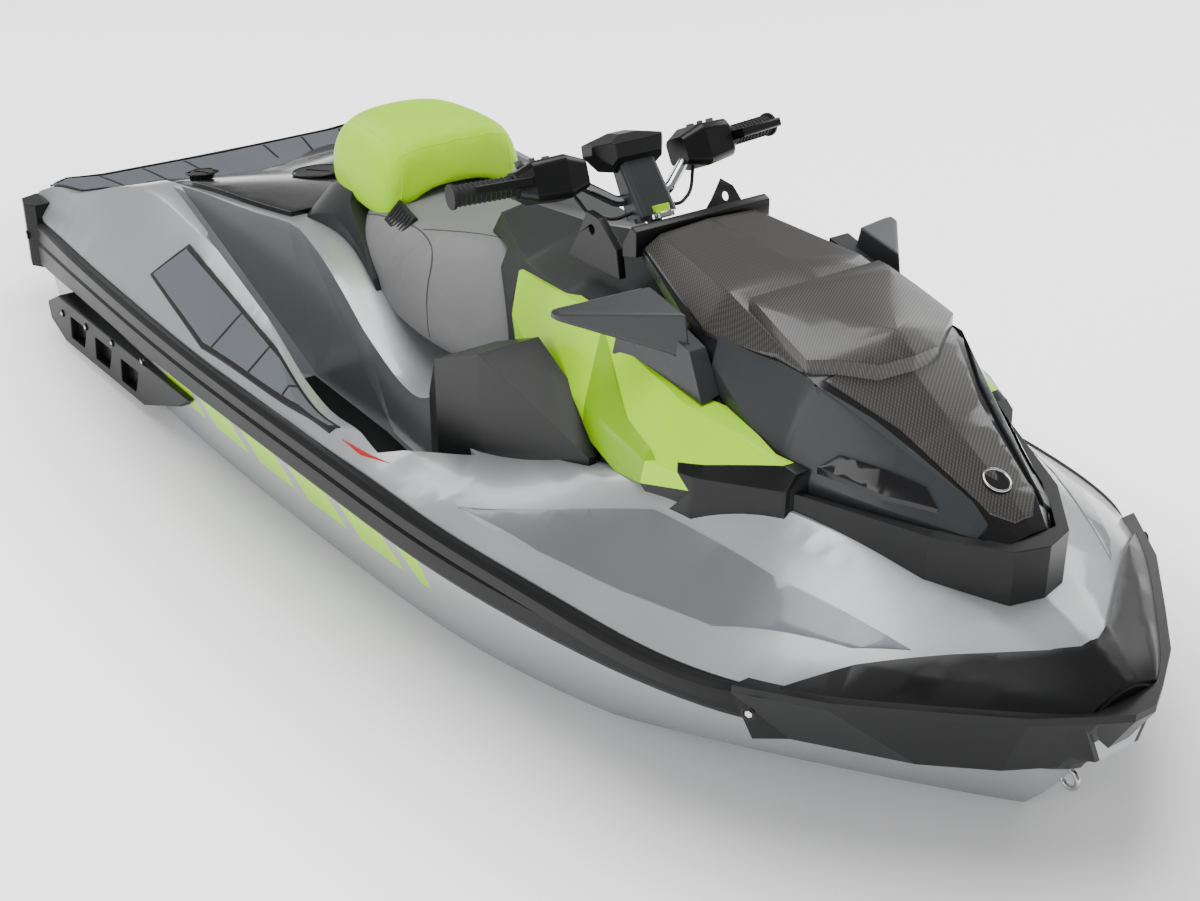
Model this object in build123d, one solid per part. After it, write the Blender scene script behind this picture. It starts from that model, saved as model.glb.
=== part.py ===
"""Personal watercraft: a single-rider performance runabout with a jet pump.

Every length is in millimetres. Places are given from the stern (x, forward), the centre plane
(y, to port) and the keel (z, up). The model's origin lies on the resting waterline at half
length, and at() and place() carry a place over to it.
"""
import os
from math import cos, radians, sin

from build123d import *

# ---- driving dimensions -------------------------------------------------------------------
LENGTH = 3306            # overall, stern bumper to bow bumper
WATERLINE = 250          # height of the resting waterline above the keel
SEAM_H = 455             # height of the joint between hull and deck moulding
TRANSOM_X = 45           # flat rear face of the hull, under the bumper
RAIL_PROUD = 22          # how far the rub rail stands off the shell
RAIL_GROOVE = 6
PAD_THICKNESS = 5        # foam traction mats
SHELL_GAP = 6            # running gap round the hood
HOOD_REACH = 1150        # height up to which the way of the rising hood is kept free

PLATFORM_H = 566         # boarding platform at the stern
PLATFORM_FRONT = 265
FOOTWELL_H = 360         # footwell floor above the keel
FOOTWELL_TOP = 800       # height to which the footwell's mould shape is drawn
TUB_WALL = 8
TRAY_THICKNESS = 12

ENGINE_LENGTH, ENGINE_WIDTH, ENGINE_HEIGHT = 640, 360, 340
ENGINE_REAR = 1150
ENGINE_FLOOR = 150       # height of the engine beds
BAY_CLEARANCE = 25

PUMP_AXIS_H = 165        # centre line of the jet pump above the keel
PUMP_BORE = 155
PUMP_WALL = 9
PUMP_REAR = 170          # face of the stator, from the stern
TUNNEL_WIDTH = 260
TUNNEL_TOP = 340
TUNNEL_FRONT = 470

BIN_REAR, BIN_FRONT = 2400, 2850
BIN_HALF_WIDTH = 150
BIN_FLOOR = 430
BIN_WALL = 5
BIN_RIM = 690
BIN_MOUTH_TOP = 1000     # the bin's mouth is cut up through deck and console to here

EYE_RADIUS, EYE_BAR = 17, 5      # tow and tie-down eyes
INTAKE_REAR, INTAKE_FRONT = 620, 1010
INTAKE_WIDTH = 150
SHAFT_RADIUS = 13
SHAFT_GAP = 4
OUTLET_RADIUS, OUTLET_WALL, OUTLET_LENGTH = 47, 7, 41
CONE_LENGTH = 45
FLANGE_WIDTH, FLANGE_THICKNESS = 26, 14
HUB_RADIUS = 30
STATOR_LENGTH = 80
HUB_SETBACK = 20         # stator hub behind the housing's narrow end
STATOR_VANES = 9
IMPELLER_LENGTH = 70
IMPELLER_GAP = 2
IMPELLER_BLADES = 4
IMPELLER_X = 295
ENGINE_COUPLING_GAP = 5
NOZZLE_REAR, NOZZLE_LENGTH, NOZZLE_PIVOT_X = 8, 84, 80
NOZZLE_RADIUS, NOZZLE_MOUTH, NOZZLE_WALL = 48, 68, 8
NOZZLE_PIN_RADIUS = 6
GATE_PIVOT_X, GATE_RADIUS, GATE_WALL = 130, 158, 6
GATE_INNER_HALF_WIDTH = 102
GATE_PIN_RADIUS = 9
BOSS_PROUD = 4           # gate pivot boss beyond the gate's side plate
PIN_GAP = 0.3             # running gap at pins and shaft ends
GATE_ARC = (55, 85)       # stowed bucket: where its arc starts and how far it goes, in degrees
MIRROR_GLASS = 3
MIRROR_GLASS_SHARE = 0.84     # glass outline against the housing's rear face
# flat rear face of the port mirror: root low, root high, tip high, tip low
MIRROR_REAR = [(2330, 245, 920), (2350, 245, 1005), (2270, 402, 972), (2266, 402, 955)]
ROUNDEL_RADIUS = 27
BAR_RADIUS = 11
BAR_CLAMP_H = 66         # bar centre above the column's foot, along the column
BAR_KNEE = (-38, 150, 134)
BAR_END_BACK, BAR_END_H = 71, 146
BAR_CLAMP_X = -20
COLLAR_H = 16
BAR_BEND = 30
GRIP_RADIUS, GRIP_LENGTH = 19, 125
LEVER_REACH = 58
STEM_RADIUS, STEM_DEPTH = 15, 60
# switch housing: distance from its outer end, width, height and corner radius of each section
HOUSING_LINES = [(0, 48, 50, 12), (26, 84, 76, 16), (95, 90, 84, 16), (142, 52, 54, 12)]
CABLE_RADIUS, CABLE_BEND = 3.5, 50
# control cable on the steering frame, from the port housing to the column
CABLE_POINTS = [(-36, 150, 112), (-30, 122, 52), (-14, 80, 34), (-6, 30, 40)]
POD_H = 156
POD_DEPTH, POD_WIDTH, POD_HEIGHT = 76, 168, 70
PANEL_THICKNESS = 9
BUMPER_LOW, BUMPER_WIDE_H, BUMPER_HIGH, BUMPER_SKIN = 436, 545, 680, 10
RAIL_REAR = 92
STERN_BUMPER_LOW = 384
STERN_LIP = 8            # bumper turned over the platform's rear edge
LIP_FRONT, LIP_HALF_WIDTH, LIP_HIGH = 60, 475, 620
SPONSON_HALF_WIDTH = 604
RIDE_REAR, RIDE_FRONT = 60, 465

# x, underside height, edge half-breadth, edge height, shoulder half-breadth, shoulder height, crown
HOOD_LINES = [
    (2200, 985, 150, 1000, 110, 1022, 1028),
    (2450, 900, 215, 930, 150, 1000, 1015),
    (2690, 755, 235, 790, 170, 930, 960),
    (2850, 722, 165, 770, 110, 850, 862),
    (2980, 712, 95, 752, 60, 785, 792),
    (3040, 712, 45, 740, 30, 750, 752),
]
# x, foot half-breadth, low, middle half-breadth, middle height, edge half-breadth, height, crown
COWL_LINES = [
    (1600, 90, 800, 92, 840, 66, 880, 890),
    (1830, 205, 600, 200, 790, 160, 862, 912),
    (2050, 285, 600, 268, 740, 212, 880, 955),
    (2300, 345, 600, 318, 760, 262, 872, 958),
    (2500, 376, 600, 360, 765, 282, 848, 890),
    (2610, 352, 600, 338, 772, 262, 830, 850),
    (2745, 262, 600, 255, 778, 238, 798, 805),
]
# x, low, foot half-breadth, waist half-breadth, waist height, edge half-breadth, edge height, crown
SEAT_LINES = [
    (930, 600, 215, 205, 690, 130, 728, 735),
    (1010, 600, 230, 220, 728, 150, 795, 806),
    (1130, 600, 225, 215, 765, 160, 838, 850),
    (1350, 600, 236, 240, 700, 176, 820, 838),
    (1550, 600, 268, 258, 680, 150, 828, 845),
    (1700, 600, 262, 240, 690, 125, 850, 866),
    (1880, 600, 205, 196, 690, 110, 735, 745),
]
# side view (x, z) of the seat base: below the bolster and up the saddle's lower flank
BASE_SIDE = [(900, 590), (900, 870), (1135, 870), (1165, 805), (1290, 735), (1350, 690), (1400, 612),
             (1440, 590)]
# x, half width, low, high, corner radius
BOLSTER_LINES = [
    (985, 150, 800, 930, 45),
    (1060, 176, 785, 984, 60),
    (1270, 186, 792, 986, 70),
    (1345, 176, 802, 955, 60),
]
# x, inner and outer half-breadth, low, high of the box beside the console
SPEAKER_LINES = [
    (1850, 340, 405, 505, 650),
    (1935, 300, 440, 530, 765),
    (2060, 285, 420, 560, 815),
    (2330, 300, 362, 600, 695),
]
# side view (x, z) of the coloured panel and of the dark insert below its front end
SIDE_PANEL = [(1832, 850), (2080, 885), (2290, 885), (2520, 850), (2740, 815), (2560, 780),
              (2600, 745), (2400, 700), (2160, 722), (2000, 712), (1900, 730)]
SIDE_INSERT = [(2562, 780), (2745, 815), (2800, 772), (2760, 690), (2530, 660), (2602, 743)]

STEER_X, STEER_H = 2046, 965      # foot of the steering column
STEER_RAKE = 24                   # degrees from upright
BAR_HALF_WIDTH = 383

BASE_PROUD = 5           # hard panel beyond the saddle's flank
TRAY_FRONT = 985
ON_BASE = (Align.CENTER, Align.CENTER, Align.MIN)    # drawn upwards from its base

# ---- lines of the hull and deck -----------------------------------------------------------
# x, keel height, chine half-breadth, chine height, shell half-breadth at the seam
HULL_LINES = [
    (TRANSOM_X, 0, 492, 178, 528),
    (330, 0, 505, 176, 562),
    (700, 0, 515, 176, 592),
    (1200, 0, 522, 178, 606),
    (1700, 0, 512, 186, 597),
    (LENGTH - 1156, 0, 480, 208, 577),
    (LENGTH - 856, 8, 420, 246, 535),
    (LENGTH - 556, 52, 315, 305, 455),
    (LENGTH - 356, 135, 205, 356, 352),
    (LENGTH - 206, 262, 110, 400, 222),
    (LENGTH - 106, 410, 50, 432, 100),
]
# x, shell half-breadth at seam, at rail top, rail top height, crest half-breadth, crest height,
# ridge half-breadth, ridge height, inner slope's half-breadth, its height, crown height
DECK_LINES = [
    (12, 528, 524, 515, 510, PLATFORM_H, 400, PLATFORM_H, 300, PLATFORM_H, PLATFORM_H),
    (PLATFORM_FRONT, 557, 555, 527, 488, 627, 345, 606, 300, 592, 586),
    (450, 573, 572, 535, 464, 692, 350, 682, 318, 664, 628),
    (600, 584, 583, 541, 448, 724, 372, 728, 338, 708, 664),
    (800, 594, 593, 545, 452, 724, 334, 734, 304, 720, 697),
    (980, 601, 600, 548, 462, 712, 292, 733, 266, 727, 724),
    (1400, 604, 603, 552, 515, 645, 335, 645, 300, 646, 650),
    (1800, 593, 592, 553, 553, 590, 350, 612, 310, 614, 625),
    (LENGTH - 1156, 577, 578, 553, 540, 590, 352, 645, 302, 652, 672),
    (LENGTH - 856, 535, 547, 553, 510, 590, 384, 692, 346, 716, 735),
    (LENGTH - 556, 455, 500, 553, 430, 594, 333, 670, 252, 738, 752),
    (LENGTH - 356, 352, 400, 553, 342, 590, 262, 632, 150, 678, 697),
    (LENGTH - 206, 222, 262, 550, 214, 578, 160, 600, 84, 628, 641),
    (LENGTH - 106, 100, 158, 545, 126, 566, 90, 580, 46, 594, 600),
    (LENGTH - 50, 40, 80, 540, 64, 554, 44, 562, 24, 570, 573),
]
# x, rail bottom height, rail top height
RAIL_LINES = [
    (RAIL_REAR, 385, 512),
    (330, 412, 527),
    (600, 433, 538),
    (980, 446, 545),
    (1400, 458, 549),
    (1800, 458, 550),
    (LENGTH - 1156, 458, 550),
    (LENGTH - 856, 458, 550),
    (LENGTH - 556, 458, 550),
    (LENGTH - 432, 458, 550),
]


def at(x, y, z):
    """Point of the model for a place from the stern, centre plane and keel."""
    return Vector(x - LENGTH / 2, y, z - WATERLINE)


def place(x, y, z):
    return Pos(*at(x, y, z))


def outline(points):
    """Flat face with the given corners."""
    return Face(Wire.make_polygon([at(*point) for point in points], close=True))


def section(x, half):
    """Face across the craft from its half outline, listed from one centre point round."""
    other = [(x, -y, z) for y, z in reversed(half) if y > 0]
    return outline([(x, y, z) for y, z in half] + other)


def ring(half):
    """Plan outline from its port half, listed from stern to bow or round a closed end."""
    return half + [(x, -y) for x, y in reversed(half) if y > 0]


def prism(points, low, high):
    """Upright prism over a plan outline of (x, y) points."""
    return Solid.extrude(outline([(x, y, low) for x, y in points]), Vector(0, 0, high - low))


def side_prism(points, inner, outer):
    """Prism over a side-view outline of (x, z) points, between two half-breadths to port."""
    return Solid.extrude(outline([(x, inner, z) for x, z in points]), Vector(0, outer - inner, 0))


def block(x_span, half_width, z_span):
    """Box about the centre plane."""
    length, height = x_span[1] - x_span[0], z_span[1] - z_span[0]
    corner = (Align.MIN, Align.CENTER, Align.MIN)
    return place(x_span[0], 0, z_span[0]) * Box(length, 2 * half_width, height, align=corner)


def faceted(lower, upper):
    """Solid between two level outlines with equally many corners, its sides flat triangles."""
    faces = [outline(lower), outline(upper)]
    for i, corner in enumerate(lower):
        j = (i + 1) % len(lower)
        faces.append(outline([corner, lower[j], upper[j]]))
        faces.append(outline([corner, upper[j], upper[i]]))
    return Solid(Shell(faces))


def mirrored(shape):
    """The same piece on the other side of the centre plane."""
    return mirror(shape, about=Plane.XZ)


def save(shape, node):
    export_step(shape, f"parts/{node}.step")


def save_pair(port_shape, node):
    """Write a piece of the port side and its mirror image."""
    save(port_shape, f"{node}_port")
    save(mirrored(port_shape), f"{node}_starboard")


# ---- shells -------------------------------------------------------------------------------
def hull_form():
    rows = []
    for x, keel, chine_y, chine_h, side in HULL_LINES:
        rows.append(section(x, [(0, keel), (chine_y, chine_h), (side, SEAM_H)]))
    return loft(rows)


def deck_form(grow=0):
    """Upper moulding without its recesses; grow thickens it outwards for pieces laid on it."""
    rows = []
    for x, seam, rail, rail_h, crest, crest_h, ridge, ridge_h, slope, slope_h, crown_h in DECK_LINES:
        half = [(seam + grow, SEAM_H), (rail + grow, rail_h), (crest + grow * 0.6, crest_h + grow)]
        half += [(ridge, ridge_h + grow), (slope, slope_h + grow), (0, crown_h + grow)]
        rows.append(section(x, half))
    return loft(rows)


def footwell(inset=0, low=FOOTWELL_H):
    """Port footwell cavity; a negative inset gives the outside of its tub."""
    k = inset
    floor = [(950 + k, 360), (1050 + k, 425 - k), (1850 - k, 500 - k), (2000 - k, 400),
             (1800, 300 + k), (1450, 268 + k), (1080, 262 + k)]
    top = [(575 + k, 396), (940 + k, 462 - k), (1930 - k, 596 - k), (2110 - k, 455),
           (1850, 405 + k), (1430, 362 + k), (1020, 285 + k)]
    return faceted([(x, y, low) for x, y in floor], [(x, y, FOOTWELL_TOP) for x, y in top])


def engine_bay():
    """Space for the engine: out of the hull from its beds up, and out of the deck above."""
    top = ENGINE_FLOOR + ENGINE_HEIGHT + BAY_CLEARANCE
    span = (ENGINE_REAR - BAY_CLEARANCE, ENGINE_REAR + ENGINE_LENGTH + BAY_CLEARANCE)
    return block(span, ENGINE_WIDTH / 2 + BAY_CLEARANCE, (ENGINE_FLOOR, top))


def pump_tunnel():
    """Open-bottomed tunnel at the stern, the duct that feeds it and the shaft's passage."""
    tunnel = block((-10, TUNNEL_FRONT), TUNNEL_WIDTH / 2, (-50, TUNNEL_TOP))
    low, high = PUMP_AXIS_H - PUMP_BORE / 2, PUMP_AXIS_H + PUMP_BORE / 2
    sides = [(TUNNEL_FRONT - 15, low), (INTAKE_REAR - 60, low), (INTAKE_REAR, -20), (INTAKE_FRONT, -20),
             (INTAKE_FRONT, 25), (INTAKE_REAR + 60, high), (TUNNEL_FRONT - 15, high)]
    duct = side_prism(sides, -INTAKE_WIDTH / 2, INTAKE_WIDTH / 2)
    reach = ENGINE_REAR - BAY_CLEARANCE - TUNNEL_FRONT + 20
    shaft = around_pump(TUNNEL_FRONT - 10, Cylinder(SHAFT_RADIUS + SHAFT_GAP, reach, align=ON_BASE))
    return tunnel + duct + shaft


def storage_bin(wall, top=BIN_RIM):
    """Block of the front bin, or of its inside for a wall above 0."""
    return block((BIN_REAR + wall, BIN_FRONT - wall), BIN_HALF_WIDTH - wall, (BIN_FLOOR + wall, top + wall))


def hood_form(grow=0):
    """Faceted hood between its underside and its top, grown outwards for the gap round it."""
    rows = []
    for x, low, edge, edge_h, mid, mid_h, crown_h in HOOD_LINES:
        half = [(0, low - grow), (edge + grow, low - grow), (edge + grow, edge_h), (mid, mid_h + grow),
                (0, crown_h + grow)]
        rows.append(section(x, half))
    return loft(rows, ruled=True)


def hood_clearance():
    """Space under and beside the hood with its running gap, open upwards so that it can rise."""
    rows = []
    for x, low, edge, *upper in HOOD_LINES:
        side = edge + SHELL_GAP
        rows.append(section(x, [(0, low - SHELL_GAP), (side, low - SHELL_GAP), (side, HOOD_REACH),
                                (0, HOOD_REACH)]))
    x, low, side = HOOD_LINES[0][:3]
    behind = block((x - SHELL_GAP, x), side, (low - SHELL_GAP, HOOD_REACH))
    return loft(rows, ruled=True) + behind


def cowl_form(grow=0):
    """Console from the seat's nose to the hood, grown for the panels laid on it."""
    rows = []
    for x, foot, low, mid, mid_h, edge, edge_h, crown_h in COWL_LINES:
        half = [(0, low), (foot + grow, low), (mid + grow, mid_h), (edge + grow * 0.7, edge_h + grow * 0.7),
                (0, crown_h + grow)]
        rows.append(section(x, half))
    return loft(rows, ruled=True)


def seat_form(grow=0):
    """Saddle and the base under it; grow widens the flanks for the hard panel laid on them."""
    rows = []
    for x, low, foot, waist, waist_h, edge, edge_h, crown_h in SEAT_LINES:
        half = [(0, low), (foot + grow, low), (waist + grow, waist_h), (edge + grow, edge_h), (0, crown_h)]
        rows.append(section(x, half))
    return loft(rows)


def bolster_form():
    rows = []
    for x, half_width, low, high, corner in BOLSTER_LINES:
        plane = Plane(origin=at(x, 0, (low + high) / 2), x_dir=(0, 1, 0), z_dir=(1, 0, 0))
        rows.append(plane * RectangleRounded(2 * half_width, high - low, corner))
    return loft(rows)


# ---- moving groups ------------------------------------------------------------------------
def steering_frame():
    """Frame on the steering axis: Z up the raked column, Y to port."""
    rake = radians(STEER_RAKE)
    return Plane(origin=at(STEER_X, 0, STEER_H), x_dir=(cos(rake), 0, sin(rake)),
                 z_dir=(-sin(rake), 0, cos(rake)))


def bar_points():
    """Corners of the handlebar's centre line, port end first, on the steering frame."""
    back, side, high = BAR_KNEE
    half = [(-BAR_END_BACK, BAR_HALF_WIDTH - 6, BAR_END_H), (back, side, high),
            (BAR_CLAMP_X, 62, BAR_CLAMP_H)]
    return half + [(x, -y, z) for x, y, z in reversed(half)]


def handlebar():
    """Bent tube from grip to grip."""
    path = FilletPolyline(*bar_points(), radius=BAR_BEND)
    start = Plane(origin=path @ 0, z_dir=path % 0)
    return sweep(start * Circle(BAR_RADIUS), path)


def grip_plane(length_in):
    """Plane across the port grip, a distance in from the bar's end."""
    end, knee = Vector(*bar_points()[0]), Vector(*bar_points()[1])
    run = (knee - end).normalized()
    return Plane(origin=end + run * length_in, x_dir=(1, 0, 0), z_dir=run)


def grip():
    """Rubber grip with a flange at each end, closed over the bar's end."""
    body = extrude(grip_plane(0) * (Circle(GRIP_RADIUS) - Circle(BAR_RADIUS)), GRIP_LENGTH)
    cap = extrude(grip_plane(-6) * Circle(GRIP_RADIUS + 5), 6)
    inner = extrude(grip_plane(GRIP_LENGTH - 7) * (Circle(GRIP_RADIUS + 6) - Circle(GRIP_RADIUS)), 7)
    return body + cap + inner


def control_housing():
    """Faceted switch housing inboard of the port grip."""
    rows = []
    for run, width, height, corner in HOUSING_LINES:
        rows.append(grip_plane(GRIP_LENGTH + run) * RectangleRounded(width, height, corner))
    return loft(rows, ruled=True) - handlebar()


def control_cable():
    """Short cable that hangs from the port housing to the column."""
    path = FilletPolyline(*CABLE_POINTS, radius=CABLE_BEND)
    return sweep(Plane(origin=path @ 0, z_dir=path % 0) * Circle(CABLE_RADIUS), path)


def lever():
    """Finger lever ahead of the port grip, rooted in the control housing."""
    reach = LEVER_REACH
    root = grip_plane(GRIP_LENGTH)
    blade_plane = Plane(origin=root.origin + root.x_dir * reach, x_dir=root.x_dir, z_dir=-root.z_dir)
    blade = extrude(blade_plane * RectangleRounded(9, 18, 4), GRIP_LENGTH - 25)
    width = reach - 31 + 9
    arm = Plane(origin=root.origin + root.x_dir * (31 + width / 2 - 4.5), x_dir=root.x_dir, z_dir=root.z_dir)
    return blade + extrude(arm * RectangleRounded(width, 18, 4), 12)


def gauge_pod():
    body = Pos(-30, 0, POD_H) * Rot(0, 12, 0) * Box(POD_DEPTH, POD_WIDTH, POD_HEIGHT)
    return fillet(body.edges(), 18)


def steering_column():
    """Collar, tapered shroud that carries the gauge pod, bar clamp and the stem in the console."""
    collar = Pos(0, 0, COLLAR_H) * Cylinder(38, 14, align=ON_BASE)
    foot = Pos(-4, 0, COLLAR_H + 10) * RectangleRounded(66, 88, 16)
    head = Pos(BAR_CLAMP_X - 6, 0, POD_H - 20) * RectangleRounded(44, 84, 14)
    stem = Pos(0, 0, -STEM_DEPTH) * Cylinder(STEM_RADIUS, STEM_DEPTH + COLLAR_H + 4, align=ON_BASE)
    return collar + loft([foot, head], ruled=True) + stem


def around_pump(x, shape):
    """Place a piece drawn along Z on the pump's centre line at a distance from the stern."""
    return place(x, 0, PUMP_AXIS_H) * Rot(0, 90, 0) * shape


def tube(outer, inner, length):
    return Cylinder(outer, length, align=ON_BASE) - Cylinder(inner, length, align=ON_BASE)


def pump_housing():
    """Tube round impeller and stator, with the flange that bolts it to the tunnel's front."""
    length = TUNNEL_FRONT - PUMP_REAR
    bore = PUMP_BORE / 2
    shell = tube(bore + PUMP_WALL, bore, length)
    flange = Pos(0, 0, length - FLANGE_THICKNESS) * tube(bore + FLANGE_WIDTH, bore, FLANGE_THICKNESS)
    return around_pump(PUMP_REAR, shell + flange)


def stator():
    """Hub and straightening vanes seated in the pump's bore."""
    form = Cylinder(HUB_RADIUS, STATOR_LENGTH, align=ON_BASE)
    reach = PUMP_BORE / 2 - HUB_RADIUS
    vane = Pos(HUB_RADIUS - 3, 0, 5) * Box(reach + 6, 4, STATOR_LENGTH - 10,
                                           align=(Align.MIN, Align.CENTER, Align.MIN))
    for turn in range(STATOR_VANES):
        form += Rot(0, 0, 360 / STATOR_VANES * turn) * vane
    form = form & Cylinder(PUMP_BORE / 2 - PIN_GAP, STATOR_LENGTH, align=ON_BASE)
    return around_pump(PUMP_REAR + HUB_SETBACK, form)


def pump_outlet():
    """Narrowing cone and outlet behind the pump, with the bosses that carry the gate."""
    bore = PUMP_BORE / 2
    form = Cone(OUTLET_RADIUS + OUTLET_WALL, bore + PUMP_WALL, CONE_LENGTH, align=ON_BASE)
    form += Pos(0, 0, -OUTLET_LENGTH) * Cylinder(OUTLET_RADIUS + OUTLET_WALL, OUTLET_LENGTH, align=ON_BASE)
    boss_reach = GATE_INNER_HALF_WIDTH + GATE_WALL + BOSS_PROUD
    along = GATE_PIVOT_X - PUMP_REAR + CONE_LENGTH
    form += Pos(0, 0, along) * Rot(90, 0, 0) * Cylinder(GATE_PIN_RADIUS, 2 * boss_reach)
    form -= Cone(OUTLET_RADIUS, bore, CONE_LENGTH, align=ON_BASE)
    form -= Pos(0, 0, -OUTLET_LENGTH) * Cylinder(OUTLET_RADIUS, OUTLET_LENGTH, align=ON_BASE)
    return around_pump(PUMP_REAR - CONE_LENGTH, form)


def impeller():
    """Hub with pitched blades and a stub that runs up to the stator's hub."""
    radius = PUMP_BORE / 2 - IMPELLER_GAP
    form = Cylinder(HUB_RADIUS, IMPELLER_LENGTH, align=ON_BASE)
    blade = Pos(HUB_RADIUS - 4, 0, IMPELLER_LENGTH / 2) * Rot(52, 0, 0) * Box(
        radius - HUB_RADIUS + 4, 5, 1.5 * IMPELLER_LENGTH, align=(Align.MIN, Align.CENTER, Align.CENTER))
    for turn in range(IMPELLER_BLADES):
        form += Rot(0, 0, 360 / IMPELLER_BLADES * turn) * blade
    form = form & Cylinder(radius, IMPELLER_LENGTH, align=ON_BASE)
    stub = IMPELLER_X - PUMP_REAR - HUB_SETBACK - STATOR_LENGTH - PIN_GAP
    form += Pos(0, 0, -stub) * Cylinder(SHAFT_RADIUS, stub, align=ON_BASE)
    return around_pump(IMPELLER_X, form)


def drive_shaft():
    length = ENGINE_REAR - ENGINE_COUPLING_GAP - IMPELLER_X - IMPELLER_LENGTH
    return around_pump(IMPELLER_X + IMPELLER_LENGTH, Cylinder(SHAFT_RADIUS, length, align=ON_BASE))


def nozzle():
    """Steering nozzle: a flared tube that swings on upright pins over the pump's outlet."""
    outer = Cone(NOZZLE_RADIUS + NOZZLE_WALL, NOZZLE_MOUTH + NOZZLE_WALL, NOZZLE_LENGTH, align=ON_BASE)
    inner = Cone(NOZZLE_RADIUS, NOZZLE_MOUTH, NOZZLE_LENGTH, align=ON_BASE)
    body = around_pump(NOZZLE_REAR, outer - inner)
    reach = OUTLET_RADIUS + OUTLET_WALL + PIN_GAP
    pin = Cylinder(NOZZLE_PIN_RADIUS, NOZZLE_MOUTH - reach, align=ON_BASE)
    for side in (0, 180):
        body += place(NOZZLE_PIVOT_X, 0, PUMP_AXIS_H) * Rot(side, 0, 0) * Pos(0, 0, reach) * pin
    return body


def reverse_gate():
    """Curved bucket between two side plates that hang on the pump's bosses."""
    half_width = GATE_INNER_HALF_WIDTH + GATE_WALL
    start, sweep_angle = GATE_ARC
    inner = GATE_RADIUS - GATE_WALL
    on_axis = (Align.NONE, Align.NONE, Align.CENTER)
    bucket = Cylinder(GATE_RADIUS, 2 * half_width, arc_size=sweep_angle, align=on_axis)
    bucket -= Cylinder(inner, 2 * half_width)
    plate = Cylinder(GATE_RADIUS, GATE_WALL, arc_size=sweep_angle, align=on_axis)
    plate += Cylinder(2 * GATE_PIN_RADIUS, GATE_WALL)
    plate -= Cylinder(GATE_PIN_RADIUS + PIN_GAP, GATE_WALL)
    offset = half_width - GATE_WALL / 2
    gate = bucket + Pos(0, 0, offset) * plate + Pos(0, 0, -offset) * plate
    return place(GATE_PIVOT_X, 0, PUMP_AXIS_H) * Rot(90, 0, 0) * Rot(0, 0, start) * gate


# ---- pieces -------------------------------------------------------------------------------
def shells():
    """Hull, deck and everything let into or wrapped round them."""
    tubs = footwell(-TUB_WALL, FOOTWELL_H - TUB_WALL)
    tubs = tubs + mirrored(tubs)
    tub_bottoms = tubs & block((0, LENGTH), LENGTH, (0, SEAM_H))
    wells = footwell() + mirrored(footwell())
    bay = engine_bay()
    hull = hull_form() - tub_bottoms - bay - pump_tunnel() - storage_bin(0)
    deck = (deck_form() + tub_bottoms) - wells
    deck = deck - bay - storage_bin(0, BIN_MOUTH_TOP) - hood_clearance()
    return hull, deck


def rub_rail(hull, deck):
    """Port rub rail, a grooved bumper strip along the seam."""
    def side_at(x, column):
        for (x0, *a), (x1, *b) in zip(DECK_LINES, DECK_LINES[1:]):
            if x0 <= x <= x1:
                return a[column] + (b[column] - a[column]) * (x - x0) / (x1 - x0)
    rows = []
    for x, low, high in RAIL_LINES:
        foot, head = side_at(x, 0), side_at(x, 1)
        mid = low + (high - low) * 0.55
        profile = [(foot - 30, low), (foot + RAIL_PROUD - 8, low), (foot + RAIL_PROUD, low + 12),
                   (foot + RAIL_PROUD, mid - 6), (foot + RAIL_PROUD - RAIL_GROOVE, mid),
                   (head + RAIL_PROUD, mid + 6), (head + RAIL_PROUD, high - 12),
                   (head + RAIL_PROUD - 9, high), (head - 30, high)]
        rows.append(outline([(x, y, z) for y, z in profile]))
    return loft(rows) - hull - deck


def bow_bumper(hull, deck):
    """Wrap-round bumper: chamfered below its widest line and laid over the deck's nose above."""
    widest = [(LENGTH - 432, 476), (LENGTH - 306, 386), (LENGTH - 186, 262), (LENGTH - 96, 166),
              (LENGTH - 38, 76), (LENGTH - 8, 24)]
    lower = [(LENGTH - 432, 428), (LENGTH - 396, 380), (LENGTH - 228, 262), (LENGTH - 138, 166),
             (LENGTH - 92, 86), (LENGTH - 70, 24)]
    edge = [(LENGTH - 432, 470), (LENGTH - 400, 448), (LENGTH - 324, 328), (LENGTH - 239, 197),
            (LENGTH - 151, 69), (LENGTH - 130, 20)]
    chamfer = faceted([(x, y, BUMPER_LOW) for x, y in ring(lower)],
                      [(x, y, BUMPER_WIDE_H) for x, y in ring(widest)])
    wall = chamfer + prism(ring(widest), BUMPER_WIDE_H, BUMPER_WIDE_H + 14)
    cover = deck_form(BUMPER_SKIN) & prism(ring(widest), SEAM_H, BUMPER_HIGH)
    core = prism(ring([(LENGTH - 700, 440)] + edge), SEAM_H + 40, BUMPER_HIGH + 40)
    return wall + (cover - core) - hull - deck


def stern_bumper(hull, deck):
    """Wrap-round bumper with bulging corners, turned over the platform's rear edge."""
    half = [(RAIL_REAR, 553), (60, 572), (14, 560), (0, 520)]
    rear = DECK_LINES[0][0]
    wall = prism(ring(half), STERN_BUMPER_LOW, PLATFORM_H - STERN_LIP)
    over = prism(ring([(LIP_FRONT, LIP_HALF_WIDTH), (rear, LIP_HALF_WIDTH)]), SEAM_H, LIP_HIGH)
    down = prism(ring([(rear, LIP_HALF_WIDTH), (0, LIP_HALF_WIDTH)]), PLATFORM_H - STERN_LIP,
                 PLATFORM_H + STERN_LIP)
    return wall + down + (deck_form(STERN_LIP) & over) - hull - deck


def laid_on_deck(deck, plan, thickness):
    """A mat or skin of even thickness lying on the deck inside a plan outline."""
    return (deck_form(thickness) & prism(plan, SEAM_H + 20, 1000)) - deck


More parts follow.
